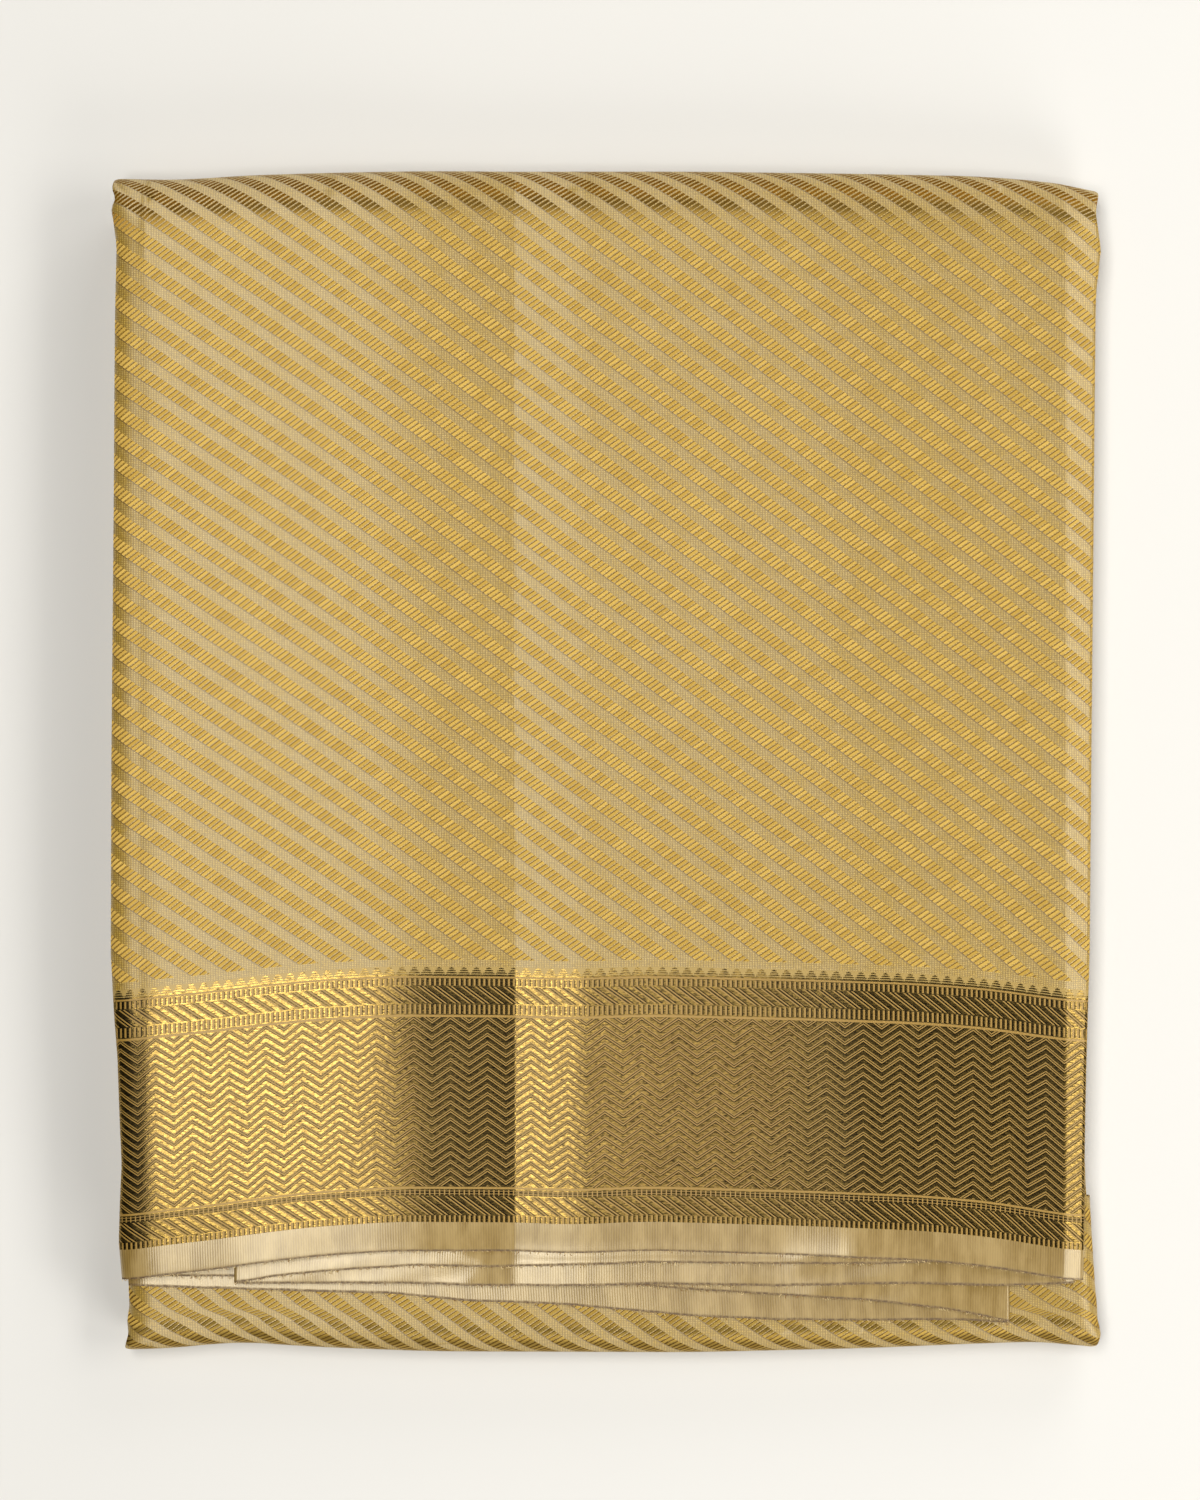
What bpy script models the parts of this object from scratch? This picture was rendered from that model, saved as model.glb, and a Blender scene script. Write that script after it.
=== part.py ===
# Folded silk dhoti: one woven length, folded end to end into a stack and then
# folded in three across its width.  Metres, +Z up, underside on Z = 0.
#
# Every solid is a section in (x, depth) carried along the same fold path:
# top run, top fold, bottom run, bottom fold, return.  Depth is measured in
# from the outside of the packet.
import math

import bmesh
import bpy

for old in list(bpy.data.objects):
    bpy.data.objects.remove(old, do_unlink=True)

MM = 0.001

# ---------------------------------------------------------------- named sizes
THICK = 27.0          # top panel above the surface it rests on
RETURN_TOP = 19.0     # outside of the return, two thirds of the stack
WALL = 1.2            # the outer cloth
LEAF = 1.0            # each selvedge leaf in the mouth
GAP = 0.35            # between any two pieces
SEAM = 0.30           # between body, border and selvedge
SELVEDGE = 10.6       # plain strip at the lip
BORDER = 86.5         # zari band above it
TOP_ROLL = 20.0       # how far the top fold reaches past its straight runs
BOTTOM_ROLL = 10.5    # the same for the bottom fold
RETURN_END = -150.0   # where the return stops, hidden under the top run
RUN_START = -146.0    # where the hidden top run starts
MIDDLE_END = 178.0    # where the hidden middle run stops, in the top fold
RUN_SPLIT = 17.9      # underside of the hidden top run
EDGE_DROP = 5.0       # radius, up and down, of the rolled side edges
EDGE_LEFT = 9.5       # how far the left edge's roll reaches in
EDGE_RIGHT = 7.5      # the same on the right
ROLL_END = 112.0      # degrees that a side edge rolls round

# ------------------------------------------------------------- short tables
# Side edges of the top run: distance up the panel, left edge, right edge.
TOP_SIDES = [
    # y,      left,   right
    (-178.0, -166.6, 164.3),
    (-165.0, -167.5, 164.4),
    (-150.0, -166.9, 164.5),
    (-138.0, -166.3, 164.5),
    (-120.0, -167.1, 164.8),
    (-102.0, -166.9, 165.2),
    (-85.0,  -168.3, 165.7),
    (-66.0,  -170.0, 166.3),
    (0.0,    -169.8, 166.9),
    (90.0,   -169.0, 167.8),
    (150.0,  -168.6, 168.4),
    (172.0,  -168.2, 169.8),
    (186.0,  -169.2, 168.7),
    (198.0,  -169.6, 169.4),
]
# Side edges of the bottom run and the bottom fold.
BOTTOM_SIDES = [
    # y,      left,   right
    (-203.0, -166.2, 169.4),
    (-199.5, -165.4, 170.2),
    (-192.0, -165.6, 169.4),
    (-180.0, -165.4, 168.6),
    (-156.0, -165.4, 167.4),
    (-138.0, -165.5, 166.6),
    (-100.0, -166.2, 166.2),
    (0.0,    -167.5, 166.4),
    (150.0,  -168.2, 167.4),
    (198.0,  -169.2, 169.0),
]
# Where the two folds end, and the selvedge at the lip: across the packet.
FOLD_LINES = [
    # x,      top fold, bottom fold
    (-170.0, 201.6, -204.2),
    (-146.0, 200.9, -203.4),
    (-130.0, 202.4, -201.2),
    (-100.0, 203.4, -203.2),
    (-60.0,  204.2, -204.7),
    (30.0,   204.2, -205.0),
    (90.0,   203.4, -203.6),
    (130.0,  202.8, -201.9),
    (155.0,  200.8, -201.2),
    (168.0,  198.4, -203.6),
]
LIP = [
    # x,      selvedge
    (-167.0, -178.4),
    (-137.0, -174.4),
    (-100.0, -169.4),
    (-72.0,  -167.6),
    (-12.0,  -168.8),
    (14.0,   -167.8),
    (73.0,   -169.5),
    (121.0,  -172.3),
    (151.0,  -177.0),
    (167.0,  -179.2),
]
# Creases of the top panel, from the way it was folded before.
CREASES = [
    # x,      lift
    (-153.0,  0.0),
    (-110.0, -0.2),
    (-70.0,  -0.5),
    (-33.0,   0.3),
    (-9.0,   -0.4),
    (60.0,    0.1),
    (90.0,    0.2),
    (130.0,   0.6),
    (156.0,   0.9),
]
# The leaves in the mouth: one folded stretch each, two layers and one turn.
LEAVES = {
    "inner_leaf": dict(floor=22.0, turn=-127.9, far=161.0, edges=[
        # x,      lower layer, upper layer
        (-128.0, -179.2, -178.9),
        (-91.0,  -179.1, -174.5),
        (-66.0,  -179.2, -172.9),
        (-35.0,  -180.2, -173.5),
        (-10.0,  -180.2, -172.8),
        (14.0,   -179.4, -171.9),
        (60.0,   -180.0, -172.3),
        (91.0,   -179.2, -172.3),
        (105.0,  -179.2, -172.0),
        (137.0,  -180.1, -170.0),
        (161.0,  -179.6, -170.0),
    ]),
    "lower_leaf": dict(floor=19.3, turn=138.7, far=-164.5, edges=[
        # x,      lower layer, upper layer
        (138.7,  -193.2, -192.9),
        (124.0,  -192.4, -189.4),
        (110.0,  -192.3, -187.5),
        (92.0,   -192.4, -185.4),
        (60.0,   -192.3, -183.4),
        (30.0,   -191.0, -181.7),
        (14.0,   -189.5, -180.3),
        (-16.0,  -186.9, -178.5),
        (-49.0,  -185.7, -178.0),
        (-75.0,  -183.1, -177.0),
        (-111.0, -182.2, -177.0),
        (-164.5, -180.5, -177.0),
    ]),
}
LEAF_BACK = -149.4    # hidden inner edge of the leaves
# Loops of cloth at the two sides of the hidden stack, outside to inside.
LOOPS = [
    # depth share, left set back, right set back
    (0.00, 0.0, 0.0),
    (0.22, 0.5, 0.9),
    (0.47, 0.1, 0.3),
    (0.72, 0.8, 0.5),
    (1.00, 0.2, 0.1),
]
LOOP_GROOVE = 0.9     # depth of the groove between two loops
LIP_DROP = 0.6        # how far the lip sinks onto the leaves under it
LIP_REACH = 24.0      # over this much of the panel


# ------------------------------------------------------------- small helpers
def table(rows, x, col):
    """Linear read of a short table whose first column rises."""
    if x <= rows[0][0]:
        return rows[0][col]
    for a, b in zip(rows, rows[1:]):
        if x <= b[0]:
            t = (x - a[0]) / (b[0] - a[0])
            return a[col] + t * (b[col] - a[col])
    return rows[-1][col]


def soft(rows, x, col, reach=9.0):
    """The same table with its corners rounded over the reach."""
    return sum(w * table(rows, x + k * reach, col)
               for k, w in ((-1, 0.25), (0, 0.5), (1, 0.25)))


def blend(a, b, t):
    return a + (b - a) * t


def span(a, b, n):
    return [blend(a, b, i / n) for i in range(n + 1)]


# ------------------------------------------------------------- the fold path
def top_z(x):
    return THICK + soft(CREASES, x, 1, 4.0)


def path_point(leg, t, x, depth):
    """A point on the fold path: leg 0 top run, 1 top fold, 2 bottom run,
    3 bottom fold, 4 return; t along the leg, depth in from the outside."""
    head = soft(FOLD_LINES, x, 1) - TOP_ROLL
    foot = soft(FOLD_LINES, x, 2) + BOTTOM_ROLL
    if leg == 0:
        y = min(t, head)
        sink = max(0.0, 1 - (y - soft(LIP, x, 1)) / LIP_REACH)
        return y, top_z(x) - LIP_DROP * sink ** 2 - depth
    if leg == 1:
        a, half = math.pi * t, top_z(x) / 2
        return (head + (TOP_ROLL - depth) * math.sin(a),
                half + (half - depth) * math.cos(a))
    if leg == 2:
        return blend(head, foot, t), depth
    if leg == 3:
        a, half = math.pi * t, RETURN_TOP / 2
        return (foot - (BOTTOM_ROLL - depth) * math.sin(a),
                half - (half - depth) * math.cos(a))
    return max(t, foot), RETURN_TOP - depth


def sides(leg, t):
    """Left and right edge of the packet at a place on the path."""
    head = FOLD_LINES[4][1] - TOP_ROLL
    foot = FOLD_LINES[4][2] + BOTTOM_ROLL
    if leg == 0:
        y, share = t, 0.0
    elif leg == 1:
        y, share = head + TOP_ROLL * math.sin(math.pi * t), t
    elif leg == 2:
        y, share = blend(head, foot, t), 1.0
    elif leg == 3:
        y, share = foot - BOTTOM_ROLL * math.sin(math.pi * t), 1.0
    else:
        y, share = t, 1.0
    return tuple(blend(soft(TOP_SIDES, y, c, 5.0), soft(BOTTOM_SIDES, y, c, 5.0), share)
                 for c in (1, 2))


# Rows along the path, shared by the outer cloth and what it wraps.
RUN_ROWS = (RUN_START, -120.0, -90.0, -60.0, -20.0, 40.0, 100.0, 140.0, 160.0, 172.0)
TOP_TURN = span(0.0, 1.0, 10)
UNDER_ROWS = (0.08, 0.25, 0.45, 0.65, 0.85, 0.95)
BOTTOM_TURN = span(0.0, 1.0, 8)
COLUMNS = [row[0] for row in CREASES[1:-1]]


def flat_columns(left, right):
    """Columns between the two rolled edges, with one on each crease."""
    a, b = left + EDGE_LEFT, right - EDGE_RIGHT
    return [a] + [x for x in COLUMNS if a + 3 < x < b - 3] + [b]


def wall_section(left, right, arc=7):
    """Outer and inner line of the cloth, edge to edge, as (x, depth)."""
    outer, inner = [], []

    def put(x, d, nx, nd):
        n = math.hypot(nx, nd)
        outer.append((x, d))
        inner.append((x + WALL * nx / n, d + WALL * nd / n))

    for a in span(math.radians(ROLL_END), 0, arc)[:-1]:
        put(left + EDGE_LEFT * (1 - math.sin(a)), EDGE_DROP * (1 - math.cos(a)),
            EDGE_DROP * math.sin(a), EDGE_LEFT * math.cos(a))
    for x in flat_columns(left, right):
        put(x, 0.0, 0.0, 1.0)
    for a in span(0, math.radians(ROLL_END), arc)[1:]:
        put(right - EDGE_RIGHT * (1 - math.sin(a)), EDGE_DROP * (1 - math.cos(a)),
            -EDGE_DROP * math.sin(a), EDGE_RIGHT * math.cos(a))
    return outer, inner


# ---------------------------------------------------------------- mesh makers
def finish(name, verts, faces):
    mesh = bpy.data.meshes.new(name)
    mesh.from_pydata([(x * MM, y * MM, z * MM) for x, y, z in verts], [], faces)
    bm = bmesh.new()
    bm.from_mesh(mesh)
    bmesh.ops.recalc_face_normals(bm, faces=bm.faces)
    bm.to_mesh(mesh)
    bm.free()
    obj = bpy.data.objects.new(name, mesh)
    bpy.context.scene.collection.objects.link(obj)
    return obj


def sheet_solid(name, outer, inner):
    """Two grids of points, rows by columns, closed all round their rim."""
    rows, cols = len(outer), len(outer[0])
    verts = [p for row in outer for p in row] + [p for row in inner for p in row]

    def o(r, c):
        return r * cols + c

    def i(r, c):
        return rows * cols + r * cols + c

    faces = []
    for r in range(rows - 1):
        for c in range(cols - 1):
            faces.append((o(r, c), o(r, c + 1), o(r + 1, c + 1), o(r + 1, c)))
            faces.append((i(r, c), i(r + 1, c), i(r + 1, c + 1), i(r, c + 1)))
    for c in range(cols - 1):
        faces.append((o(0, c), i(0, c), i(0, c + 1), o(0, c + 1)))
        faces.append((o(rows - 1, c), o(rows - 1, c + 1), i(rows - 1, c + 1), i(rows - 1, c)))
    for r in range(rows - 1):
        faces.append((o(r, 0), o(r + 1, 0), i(r + 1, 0), i(r, 0)))
        faces.append((o(r, cols - 1), i(r, cols - 1), i(r + 1, cols - 1), o(r + 1, cols - 1)))
    return finish(name, verts, faces)


def wall(name, stations):
    """The outer cloth along a list of stations: (leg, t) or, on the top run,
    (0, function of x) so that a row can follow the arched border."""
    outer_rows, inner_rows = [], []
    for leg, t in stations:
        left, right = (sides(leg, t(x) if callable(t) else t)[k]
                       for k, x in enumerate((-168.0, 167.0)))
        outer, inner = wall_section(left, right)
        rows = []
        for line in (outer, inner):
            row = []
            for x, depth in line:
                y, z = path_point(leg, t(x) if callable(t) else t, x, depth)
                row.append((x, y, z))
            rows.append(row)
        outer_rows.append(rows[0])
        inner_rows.append(rows[1])
    return sheet_solid(name, outer_rows, inner_rows)


def lip(x):
    return soft(LIP, x, 1)


def above_lip(distance):
    return lambda x: lip(x) + distance


def above_border(y, end):
    """A row of the top run that leaves the arched border for a straight one."""
    return lambda x: blend(y, lip(x) + SELVEDGE + BORDER, end)


# -------------------------------------------------------------- outer cloth
wall("selvedge_strip", [(0, above_lip(d)) for d in span(0.0, SELVEDGE - SEAM, 2)])
wall("zari_border", [(0, above_lip(d)) for d in
                     span(SELVEDGE, SELVEDGE + BORDER - SEAM, 5)])
body = [(0, above_border(-60.0, 1.0)), (0, above_border(-60.0, 0.0))]
body += [(0, y) for y in RUN_ROWS[4:]]
body += [(1, t) for t in TOP_TURN]
body += [(2, t) for t in UNDER_ROWS]
body += [(3, t) for t in BOTTOM_TURN]
body += [(4, y) for y in (-180.0, -165.0, RETURN_END)]
wall("body_cloth", body)


# ------------------------------------------------------------------- leaves
def leaf(name, floor, turn, far, edges):
    """One folded stretch: lower layer, turn at one end, upper layer."""
    rows = sorted(edges)
    out = 1.0 if turn > far else -1.0        # the way the turn points
    middle = floor + LEAF + GAP / 2
    start = turn - out * (LEAF + GAP / 2)    # centre of the turn
    flat = [x for x in [far] + [r[0] for r in rows] + [start]
            if (x - far) * out >= -1e-6 and (start - x) * out > 4 or x in (far, start)]
    flat = sorted(set(flat), key=lambda x: x * out)
    line = []                                # (x, z on outer side, z on inner side, layer)
    for x in flat:
        line.append((x, floor, x, floor + LEAF, 1))
    for a in span(-90.0, 90.0, 6)[1:-1]:
        c, s = math.cos(math.radians(a)), math.sin(math.radians(a))
        big, small = LEAF + GAP / 2, GAP / 2
        line.append((start + out * big * c, middle + big * s,
                     start + out * small * c, middle + small * s, 1.5 + s / 2))
    for x in reversed(flat):
        line.append((x, floor + 2 * LEAF + GAP, x, floor + LEAF + GAP, 2))
    outer_rows, inner_rows = [], []
    for share in span(0.0, 1.0, 3):
        outer, inner = [], []
        for xo, zo, xi, zi, layer in line:
            edge = blend(soft(rows, xo, 1), soft(rows, xo, 2), layer - 1)
            y = blend(edge, LEAF_BACK, share)
            outer.append((xo, y, zo))
            inner.append((xi, y, zi))
        outer_rows.append(outer)
        inner_rows.append(inner)
    return sheet_solid(name, outer_rows, inner_rows)


for leaf_name, row in LEAVES.items():
    leaf(leaf_name, **row)


# ------------------------------------------------------------ hidden layers
INSET = WALL + GAP
HALF = (RETURN_TOP - 2 * INSET) / 4 - GAP / 2     # half of a lower run


def run_depth(leg, t, x):
    """Depth of the inner side of the hidden stack."""
    lower = INSET + 2 * HALF
    if leg == 0:
        return top_z(x) - RUN_SPLIT
    if leg == 1:
        return blend(top_z(x) - RUN_SPLIT, lower, t)
    return lower


def bundle_section(left, right, steps=16):
    """Closed outline as (x, depth share): along the outside, round the right
    end with its loops, back along the inside, round the left end."""
    reach_l, reach_r = EDGE_LEFT - INSET - 0.35, EDGE_RIGHT - INSET - 0.35
    a, b = left + EDGE_LEFT, right - EDGE_RIGHT
    top = [(x, 0.0) for x in flat_columns(left, right)]
    outline = list(top)

    def bulge(f):
        return math.sqrt(max(0.0, 1 - (2 * f - 1) ** 2))

    def loop(f, col):
        for p, q in zip(LOOPS, LOOPS[1:]):
            if f <= q[0]:
                u = (f - p[0]) / (q[0] - p[0])
                return blend(p[col], q[col], u) + LOOP_GROOVE * (0.5 - 0.5 * math.cos(2 * math.pi * (u - 0.5)))
        return 0.0

    # even steps round the arc, so the ends keep their rounded shape
    shares = [0.5 - 0.5 * math.cos(math.pi * k / steps) for k in range(1, steps)]
    for f in shares:
        outline.append((b + (reach_r - loop(f, 2)) * bulge(f), f))
    outline += [(x, 1.0) for x, _ in reversed(top)]
    for f in reversed(shares):
        outline.append((a - (reach_l - loop(f, 1)) * bulge(f), f))
    return outline


def bundle(name, stations):
    verts, rings = [], []
    for leg, t in stations:
        left, right = sides(leg, t)
        ring = []
        for x, share in bundle_section(left, right):
            depth = blend(INSET, run_depth(leg, t, x), share)
            y, z = path_point(leg, t, x, depth)
            ring.append(len(verts))
            verts.append((x, y, z))
        rings.append(ring)
    faces = [tuple(rings[0]), tuple(reversed(rings[-1]))]
    for p, q in zip(rings, rings[1:]):
        n = len(p)
        for k in range(n):
            faces.append((p[k], q[k], q[(k + 1) % n], p[(k + 1) % n]))
    return finish(name, verts, faces)


runs = [(0, y) for y in RUN_ROWS] + [(1, t) for t in TOP_TURN]
runs += [(2, t) for t in UNDER_ROWS] + [(3, t) for t in BOTTOM_TURN]
runs += [(4, y) for y in (-180.0, -130.0, -60.0, 20.0, 100.0, 160.0, MIDDLE_END)]
bundle("folded_bundle", runs)

# ------------------------------------------- origin: bottom centre of the box
solids = [o for o in bpy.data.objects if o.type == "MESH"]
for axis in (0, 1):
    places = [v.co[axis] for o in solids for v in o.data.vertices]
    shift = (min(places) + max(places)) / 2
    for o in solids:
        for v in o.data.vertices:
            v.co[axis] -= shift
for o in solids:
    o.data.update()
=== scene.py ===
# A folded silk dhoti lying on a pale floor.  Lengths in the tables are in
# millimetres and tilts in degrees; meshes are written in metres.
import math

import bpy
import numpy as np
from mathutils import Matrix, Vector


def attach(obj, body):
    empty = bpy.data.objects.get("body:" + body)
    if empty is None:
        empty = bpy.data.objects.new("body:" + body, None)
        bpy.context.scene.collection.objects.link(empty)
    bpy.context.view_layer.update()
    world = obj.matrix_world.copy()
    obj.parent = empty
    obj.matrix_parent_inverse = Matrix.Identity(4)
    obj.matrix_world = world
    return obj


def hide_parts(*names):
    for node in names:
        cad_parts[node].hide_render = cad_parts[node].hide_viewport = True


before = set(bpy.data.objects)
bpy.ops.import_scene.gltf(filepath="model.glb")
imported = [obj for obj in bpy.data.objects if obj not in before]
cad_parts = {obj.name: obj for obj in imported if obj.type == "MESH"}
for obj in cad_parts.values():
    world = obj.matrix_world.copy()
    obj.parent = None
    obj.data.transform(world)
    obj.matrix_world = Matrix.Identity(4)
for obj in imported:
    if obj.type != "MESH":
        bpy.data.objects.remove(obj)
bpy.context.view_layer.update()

MM = 0.001
CENTRING = (0.10, 0.335)      # the part is centred on its box by this much

# ---------------------------------------------------------------- named sizes
THICK = 27.0                  # height of the top panel
RETURN_TOP = 19.0             # height of the turned-up part below the mouth
SILK = 0.35                   # thickness of one layer as drawn
SELVEDGE = 10.3               # plain strip at the lip
BORDER_TOP = 97.8             # distance of the border's top from the lip
TOP_ROLL = 16.0               # how far the top fold reaches past the panel
BOTTOM_ROLL = 10.5            # how far the bottom fold reaches out
RETURN_ROWS = (-188.0, -180.0, -170.0, -160.0, -150.0)
STRAIGHT_ROW = -40.0          # a row of the panel that has no bow
EDGE_LEFT = 9.5               # width of the rolled sides of the packet
EDGE_RIGHT = 7.5
SIDES_AT = (-168.0, 168.0)    # where the folds are read for the two sides
ROW_ENDS = (-168.0, 166.0)    # where a curved row is read for its two sides
SIDE_ROUND = 0.8              # reach over which each table's corners are rounded
FOLD_ROUND = 9.0
LIP_ROUND = 7.0
SINK_ROUND = 6.0
LEAF_ROUND = 4.0
LIP_LEVEL = -168.0            # the lip where it isn't bowed
OLD_CREASE = -31.0            # the old fold down the panel

TOP_SIDES = [
    # y,      left,   right
    (-178.0, -166.6, 164.3),
    (-165.0, -167.5, 164.4),
    (-150.0, -166.9, 164.5),
    (-138.0, -166.3, 164.5),
    (-120.0, -167.1, 164.8),
    (-102.0, -167.7, 165.2),
    (-85.0,  -169.0, 165.7),
    (-66.0,  -170.0, 166.3),
    (0.0,    -169.8, 166.9),
    (90.0,   -169.0, 167.8),
    (150.0,  -168.6, 168.4),
    (161.0,  -168.4, 168.6),
    (177.0,  -168.0, 170.4),
    (190.5,  -169.9, 168.5),
    (194.3,  -168.3, 169.3),
    (197.5,  -170.2, 170.7),
]
BOTTOM_SIDES = [
    # y,      left,   right
    (-203.3, -166.8, 169.6),
    (-199.5, -165.2, 170.9),
    (-192.6, -165.9, 169.8),
    (-189.6, -165.0, 169.8),
    (-180.0, -165.4, 168.9),
    (-156.0, -165.4, 167.4),
    (-138.0, -165.5, 166.6),
    (-100.0, -166.2, 166.2),
    (0.0,    -167.5, 166.4),
    (150.0,  -168.2, 167.4),
    (198.0,  -169.2, 169.0),
]
FOLD_LINES = [
    # x,      top fold, bottom fold
    (-170.0, 201.6, -204.2),
    (-146.0, 200.9, -203.4),
    (-130.0, 202.4, -201.2),
    (-100.0, 203.4, -203.2),
    (-60.0,  204.2, -204.7),
    (30.0,   204.2, -205.0),
    (90.0,   203.4, -203.6),
    (130.0,  202.8, -201.9),
    (155.0,  200.8, -201.2),
    (168.0,  198.4, -203.6),
]
LIP = [
    # x,      selvedge
    (-167.0, -178.4),
    (-152.0, -176.0),
    (-137.0, -174.4),
    (-121.0, -171.9),
    (-100.0, -169.3),
    (-72.0,  -167.5),
    (-32.0,  -168.2),
    (-12.0,  -168.9),
    (14.0,   -167.8),
    (73.0,   -169.5),
    (105.0,  -170.9),
    (121.0,  -172.3),
    (135.0,  -174.0),
    (151.0,  -177.0),
    (167.0,  -179.2),
]
# How far the weft still bows like the lip, by distance above it.
BOW = [
    # above lip, left half, right half
    (0.0,   1.00, 1.00),
    (97.0,  0.80, 0.80),
    (130.0, 0.70, 0.50),
    (160.0, 0.62, 0.36),
    (250.0, 0.56, 0.20),
    (380.0, 0.54, 0.00),
]
# Above the border the weft straightens: the distance from the lip where
# that starts, and its share by length and by length squared.
EASE_FROM = 100.0
EASE = (0.013, 0.0000613)
# Tilt of the top panel across its width: negative where it falls to the
# right.  Old folds are the rows that change at once.
TILTS = [
    # x,      tilt
    (-160.0,  8.0),
    (-152.5,  0.8),
    (-95.0,   0.4),
    (-80.0,  -0.7),
    (-60.0,  -5.0),
    (-31.9,  -5.8),
    (-31.1,   2.4),
    (-12.0,   2.0),
    (-6.0,   -0.6),
    (30.0,    0.3),
    (62.0,    0.9),
    (82.0,    0.2),
    (90.0,   -2.8),
    (128.0,  -3.0),
    (138.0,  -3.8),
    (144.0,  -1.4),
    (156.6,   1.0),
    (157.4,  -4.0),
    (161.0,   0.0),
]
# How far the lip has sunk onto what lies under it.
SINK = [
    # x,      sink
    (-167.0,  3.4),
    (-140.0,  2.8),
    (-122.0,  1.2),
    (-60.0,   0.6),
    (-20.0,   0.3),
    (40.0,    0.8),
    (120.0,   0.6),
    (150.0,   1.4),
    (166.0,   2.4),
]
SINK_REACH = 42.0
# Soft unevenness of the panel.
UNEVEN = [
    # height, seed, hills apart
    (0.10,   3,    90.0),
    (0.035,  8,    28.0),
]
# The tables of tilts are summed to heights this far either side.
LIFT_REACH = 175.0
LIFT_LEVEL = 0.1
# The weft of the turned-up part leans at its left end.
RETURN_LEAN = 0.08
RETURN_LEAN_TO = -60.0
# Tilt of the loose selvedge on top of the panel's own.
FLUTTER = [
    # x,      tilt
    (-150.0,  1.5),
    (-130.0, -1.5),
    (-100.0, -3.5),
    (-90.0,  -1.0),
    (-66.0,  -1.0),
    (-60.0,  -5.0),
    (-33.0,  -5.0),
    (-31.0,   2.5),
    (-8.0,    2.5),
    (0.0,     1.6),
    (6.0,     0.2),
    (30.0,    1.4),
    (58.0,    0.6),
    (64.0,    8.0),
    (82.0,    8.0),
    (87.0,   -3.5),
    (110.0,  -1.5),
    (122.0,   1.0),
    (140.0,   0.5),
    (160.0,   0.0),
]
FLUTTER_REACH = 12.0
FLUTTER_SHARE = 0.6
# Each free selvedge bends down at its very edge.
LIP_BEND = 0.45
LIP_BEND_REACH = 1.0
LIP_ROWS = (0.0, 0.3, 0.6, 1.0)
SELVEDGE_ROWS = LIP_ROWS + (1.8, 3.2, 4.9, 6.7, 8.5, SELVEDGE)
# The panel starts to fall towards the top fold at this y, more and more.
SHOULDER = [
    # x,      y
    (-165.0, 183.0),
    (-60.0,  180.0),
    (40.0,   177.0),
    (100.0,  172.0),
    (165.0,  167.0),
]
SHOULDER_CURVE = 0.0026
SHOULDER_REACH = 40.0
# Short soft troughs in the panel, and ridges where the depth is negative.
DENTS = [
    # x,     width, lowest y, highest y, depth
    (-31.6,  0.5,   -60.0,    205.0,     0.12),
    (134.5,  2.4,   118.0,    176.0,     0.30),
    (133.5,  2.2,   -84.0,    -62.0,     0.22),
    (-158.0, 1.3,   164.0,    193.0,    -0.22),
    (157.9,  0.5,  -190.0,    230.0,    -0.10),
    (-146.0, 3.0,    60.0,    150.0,     0.10),
    (88.0,   1.8,    20.0,    110.0,     0.10),
]
# The panel's right edge falls away from this x before it rolls round.
BEVEL_FROM = 157.4
BEVEL_SLOPE = 0.30
# Thread ends along the free selvedges, drawn about twice as thick as real
# ones so that they show.
FRAY_SPACING = 0.8
FRAY_LENGTH = 0.9
FRAY_RADIUS = 0.09
# The leaves in the mouth: one folded stretch each, two layers and one turn.
LEAF_BACK = -149.4
LEAF_SILK = 0.4
LEAF_COLUMNS = 150
LEAF_TURN = (11.0, 0.5)       # reach and height of the swelling at a turn
LAYERS_APART = 40             # how far off one layer's waver is from the other's
LEAF_WAVER = [
    # height, seed, waves apart
    (0.10,   21,   16.0),
    (0.05,   22,   5.0),
]
LEAF_SWELL = (0.16, 5, 70.0)  # height, seed and waves apart
LEAF_PUCKER = (0.22, 34.0)    # height and waves apart, and how much closer
PUCKER_CLOSER = 3             # together the puckers lie along the warp
LEAF_BEND = 0.7 * LIP_BEND
LEAF_DROP = 3.4               # how far a leaf falls at the panel's left roll
LEAF_CLEAR = 0.25             # left free below the panel
MOUTH_OPENS = (0.4, 3.0)      # slope and reach of the room past the lip
LEAF_FIRST_ROW = 1.8          # from the edge to the first row past its bend
LEAF_ROW_SPREAD = 1.4         # above 1, rows stand closer near the edge
LEAF_ZARI_FROM = SELVEDGE + 2.5
LEAVES = {
    "inner_leaf": dict(low=22.95, up=24.35, turn=-127.9, far=161.0, edges=[
        # x,      lower layer, upper layer
        (-128.0, -179.2, -178.9),
        (-110.0, -179.2, -176.2),
        (-91.0,  -179.1, -174.5),
        (-66.0,  -179.2, -172.9),
        (-35.0,  -180.2, -173.5),
        (-10.0,  -180.2, -172.8),
        (14.0,   -179.4, -171.9),
        (60.0,   -180.0, -172.3),
        (91.0,   -179.2, -172.3),
        (105.0,  -179.2, -172.0),
        (137.0,  -180.1, -170.0),
        (161.0,  -179.6, -170.0),
    ]),
    "lower_leaf": dict(low=20.25, up=21.6, turn=138.7, far=-164.5, edges=[
        # x,      lower layer, upper layer
        (-164.5, -180.5, -177.0),
        (-111.0, -182.2, -177.0),
        (-75.0,  -183.1, -177.0),
        (-49.0,  -185.7, -178.0),
        (-16.0,  -186.9, -178.5),
        (14.0,   -189.5, -180.3),
        (30.0,   -191.0, -181.7),
        (60.0,   -192.3, -183.4),
        (92.0,   -192.4, -185.4),
        (110.0,  -192.3, -187.5),
        (124.0,  -192.4, -189.4),
        (138.7,  -193.2, -192.9),
    ]),
}
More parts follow.
